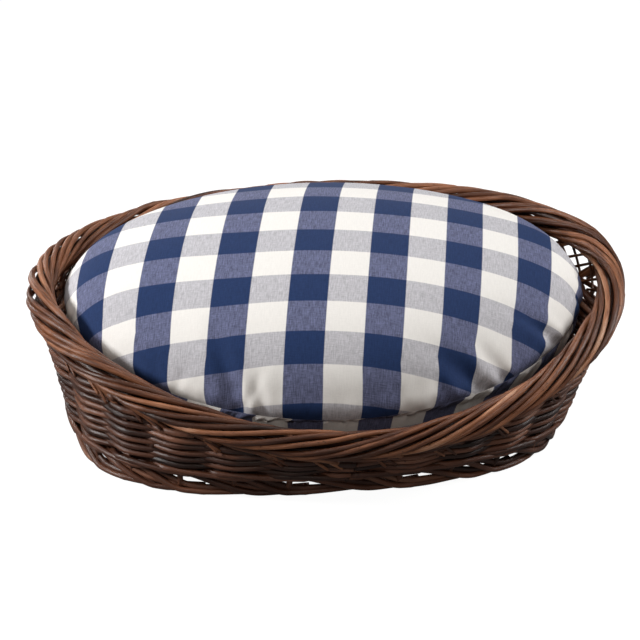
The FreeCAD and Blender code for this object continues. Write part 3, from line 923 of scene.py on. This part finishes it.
def make_filling():
    """The sealed polyester filling, which keeps clear of the creased cover all round."""
    inset = 7.0
    lower = oval_ring(BELT, BOTTOM_INSET + inset)
    belt = oval_ring(BELT, inset)
    seam = oval_ring(SEAM, inset)
    rings = [np.concatenate([lower, np.full((len(lower), 1), BOTTOM_HEIGHT + inset)], 1),
             np.concatenate([belt, np.full((len(belt), 1), BELT_HEIGHT)], 1)]
    for share in even_shares(30):
        flat = DOME_PEAK + (seam - DOME_PEAK) * share
        low = seam_height(seam)
        height = low + (CUSHION_TOP - inset - low) * dome_fill(share)
        rings.append(np.concatenate([flat, height[:, None]], 1))
    points = np.stack(rings)[:, ::4]
    stations = points.shape[1]
    faces = ring_faces(len(points), stations)
    faces.append(list(range(stations))[::-1])
    faces.append([(len(points) - 1) * stations + index for index in range(stations)])
    shader = Shader("polyester_wadding")
    place = shader.node("TexCoord").outputs["Object"]
    tufts = shader.noise(place, 90.0, 5.0)
    colour = shader.ramp(tufts, (0.3, (0.62, 0.62, 0.6)), (0.7, (0.86, 0.86, 0.84)))
    shader.set(Base_Color=colour, Roughness=0.95)
    shader.bump(tufts, 0.002, 0.6)
    piece = make_piece("filling", points.reshape(-1, 3), faces, shader.material, "cushion")
    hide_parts("cushion_filling")


NAVY = (0.013, 0.031, 0.098)
CREAM = (0.79, 0.765, 0.73)
NAVY_ON_CREAM = (0.104, 0.114, 0.196)
CREAM_ON_NAVY = (0.46, 0.45, 0.475)


def gingham(name, warp_start, weft_start):
    """Cotton gingham: warp and weft stripes of navy and cream, mixed where they cross."""
    shader = Shader(name)
    cloth = shader.attribute("cloth")
    across, along = shader.split(cloth)[0], shader.split(cloth)[1]
    warp = stripe(shader, across, warp_start)
    weft = stripe(shader, along, weft_start)
    warp_threads = shader.noise(shader.stretch(cloth, (1.1, 0.10, 1.0)), 1.0, 3.0, 0.7)
    weft_threads = shader.noise(shader.stretch(cloth, (0.16, 1.0, 1.0)), 1.0, 3.0, 0.7)
    threads = shader.math("ADD", shader.math("MULTIPLY", warp_threads, 0.6),
                          shader.math("MULTIPLY", weft_threads, 0.4))
    slub = shader.span(threads, 0.40, 0.60)
    mid = uneven(shader, slub, NAVY_ON_CREAM, 0.62, 1.5)
    pale = uneven(shader, slub, CREAM_ON_NAVY, 0.80, 1.22)
    navy = uneven(shader, slub, NAVY, 0.86, 1.16)
    cream = uneven(shader, slub, CREAM, 0.965, 1.03)
    light_warp = shader.mix(weft, cream, pale)
    dark_warp = shader.mix(weft, mid, navy)
    shader.set(Base_Color=shader.mix(warp, light_warp, dark_warp), Roughness=0.82)
    shader.surface.inputs["Specular IOR Level"].default_value = 0.15
    shader.surface.inputs["Sheen Weight"].default_value = 0.03
    shader.bump(threads, 0.0003, 0.5)
    return shader.material


def uneven(shader, slub, colour, darkest, lightest):
    """A colour that the uneven thread darkens and lightens by these shares."""
    return shader.mix(slub, tuple(darkest * value for value in colour),
                      tuple(lightest * value for value in colour))


def stripe(shader, place, start):
    """1 on navy stripes and 0 on cream ones, each one check wide."""
    wave = shader.math("PINGPONG", shader.math("ADD", place, start), CHECK)
    return shader.span(wave, CHECK / 2 - 0.35, CHECK / 2 + 0.35)


def make_zip():
    tape = Shader("zip_tape_cloth")
    place = tape.node("TexCoord").outputs["Object"]
    weave = tape.noise(place, 900.0, 3.0)
    colour = tape.ramp(weave, (0.3, (0.014, 0.022, 0.060)), (0.7, (0.030, 0.045, 0.105)))
    tape.set(Base_Color=colour, Roughness=0.85)
    tape.bump(weave, 0.0002, 0.5)
    nylon = Shader("zip_nylon_coil")
    place = nylon.node("TexCoord").outputs["Object"]
    angle = nylon.math("ARCTAN2", nylon.math("ADD", nylon.split(place)[0], -ZIP_ARC_CENTRE[0] * MM),
                       nylon.math("ADD", nylon.split(place)[1], -ZIP_ARC_CENTRE[1] * MM))
    coils = nylon.math("SINE", nylon.math("MULTIPLY", angle, TURN * ZIP_ARC_RADIUS / ZIP_COIL_PITCH))
    coils = nylon.span(coils, -1.0, 1.0)
    # The coil's colour is darkest in the grooves between its turns, as painted shade.
    colour = nylon.ramp(coils, (0.1, (0.008, 0.012, 0.035)), (0.8, (0.045, 0.062, 0.13)))
    nylon.set(Base_Color=colour, Roughness=0.38)
    nylon.bump(coils, 0.0005, 0.9)
    metal = Shader("zip_metal_nickel")
    place = metal.node("TexCoord").outputs["Object"]
    wear = metal.noise(place, 260.0, 4.0)
    metal.set(Base_Color=(0.52, 0.51, 0.49, 1.0), Metallic=1.0,
              Roughness=metal.span(wear, 0.3, 0.7, 0.22, 0.42))
    metal.bump(wear, 0.0001, 0.4)
    finishes = {"zip_tape": tape, "zip_teeth": nylon, "zip_stops": metal,
                "zip_slider": metal, "zip_pull": metal}
    for name, shader in finishes.items():
        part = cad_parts[name]
        part.data.materials.clear()
        part.data.materials.append(shader.material)


def make_cushion():
    make_cover_top(gingham("gingham_top", 43.9, 2.4))
    strip = gingham("gingham_strip", 55.6, 9.0)
    make_cover_side(strip)
    make_cover_bottom(gingham("gingham_bottom", 5.0, 11.0))
    make_filling()
    make_zip()


# ---------------------------------------------------------------- light and camera

CAMERA_AZIMUTH = math.radians(-8.0)
CAMERA_ELEVATION = math.radians(21.1)
CAMERA_DISTANCE = 1902.0
CAMERA_LENS = 113.7
CAMERA_AIM_HEIGHT = 94.6
CAMERA_AIM_SIDE = -7.3
WORLD_LIGHT = 0.18                      # the world lights the part this much, and looks white behind it


def make_camera():
    across = Vector((math.cos(CAMERA_AZIMUTH), math.sin(CAMERA_AZIMUTH), 0))
    back = Vector((math.sin(CAMERA_AZIMUTH) * math.cos(CAMERA_ELEVATION),
                   -math.cos(CAMERA_AZIMUTH) * math.cos(CAMERA_ELEVATION), math.sin(CAMERA_ELEVATION)))
    aim = across * CAMERA_AIM_SIDE + Vector((0, 0, CAMERA_AIM_HEIGHT))
    camera = bpy.data.objects.new("camera", bpy.data.cameras.new("camera"))
    camera.data.lens = CAMERA_LENS
    camera.location = (aim + back * CAMERA_DISTANCE) * MM
    camera.rotation_euler = (-back).to_track_quat("-Z", "Y").to_euler()
    bpy.context.scene.collection.objects.link(camera)
    bpy.context.scene.camera = camera


WHITE = (1.0, 1.0, 1.0)

# Name, place, aim, size, power and colour of each soft lamp.
LIGHTS = (
    ("key", (-1700, -50, 850), (0, 0, 80), 330, 32, WHITE),
    ("edge", (-900, 1500, 520), (-200, 0, 100), 350, 5, WHITE),
    ("back", (300, 1500, 1450), (0, 0, 100), 500, 4, WHITE),
    ("front", (-300, -1500, 1150), (0, 0, 80), 500, 4.6, (1.0, 0.92, 0.84)),
    ("fill", (1500, -100, 1000), (0, 0, 80), 700, 19, WHITE),
    ("top", (100, 0, 1750), (0, 0, 100), 900, 7.5, WHITE),
)


def make_light(name, place, aim, size, power, colour):
    light = bpy.data.objects.new(name, bpy.data.lights.new(name, "AREA"))
    light.data.shape = "DISK"
    light.data.size = size * MM
    light.data.energy = power
    light.data.color = colour
    light.location = Vector(place) * MM
    light.rotation_euler = (Vector(aim) - Vector(place)).to_track_quat("-Z", "Y").to_euler()
    bpy.context.scene.collection.objects.link(light)


def make_studio():
    scene = bpy.context.scene
    scene.view_settings.view_transform = "Standard"
    world = bpy.data.worlds.new("studio")
    scene.world = world
    world.use_nodes = True
    nodes = world.node_tree.nodes
    seen = nodes.new("ShaderNodeLightPath").outputs["Is Camera Ray"]
    level = nodes.new("ShaderNodeMapRange")
    level.inputs["To Min"].default_value = WORLD_LIGHT
    level.inputs["To Max"].default_value = 1.0
    world.node_tree.links.new(seen, level.inputs["Value"])
    world.node_tree.links.new(level.outputs[0], nodes["Background"].inputs["Strength"])
    nodes["Background"].inputs["Color"].default_value = (1.0, 1.0, 1.0, 1.0)
    for light in LIGHTS:
        make_light(*light)
    make_floor()


def make_floor():
    half = 6000.0 * MM
    mesh = bpy.data.meshes.new("floor")
    corners = [(-half, -half, 0), (half, -half, 0), (half, half, 0), (-half, half, 0)]
    mesh.from_pydata(corners, [], [(0, 1, 2, 3)])
    shader = Shader("floor_paper")
    shader.set(Base_Color=(0.12, 0.12, 0.12, 1.0), Roughness=0.9)
    shader.surface.inputs["Emission Color"].default_value = (1.0, 1.0, 1.0, 1.0)
    seen = shader.node("LightPath").outputs["Is Camera Ray"]
    shader.set(Emission_Strength=shader.span(seen, 0.0, 1.0, 0.06, 0.95))
    mesh.materials.append(shader.material)
    floor = bpy.data.objects.new("floor", mesh)
    bpy.context.scene.collection.objects.link(floor)


make_camera()
make_studio()
make_wall()
make_stakes()
make_border()
make_foot()
make_base()
make_cushion()
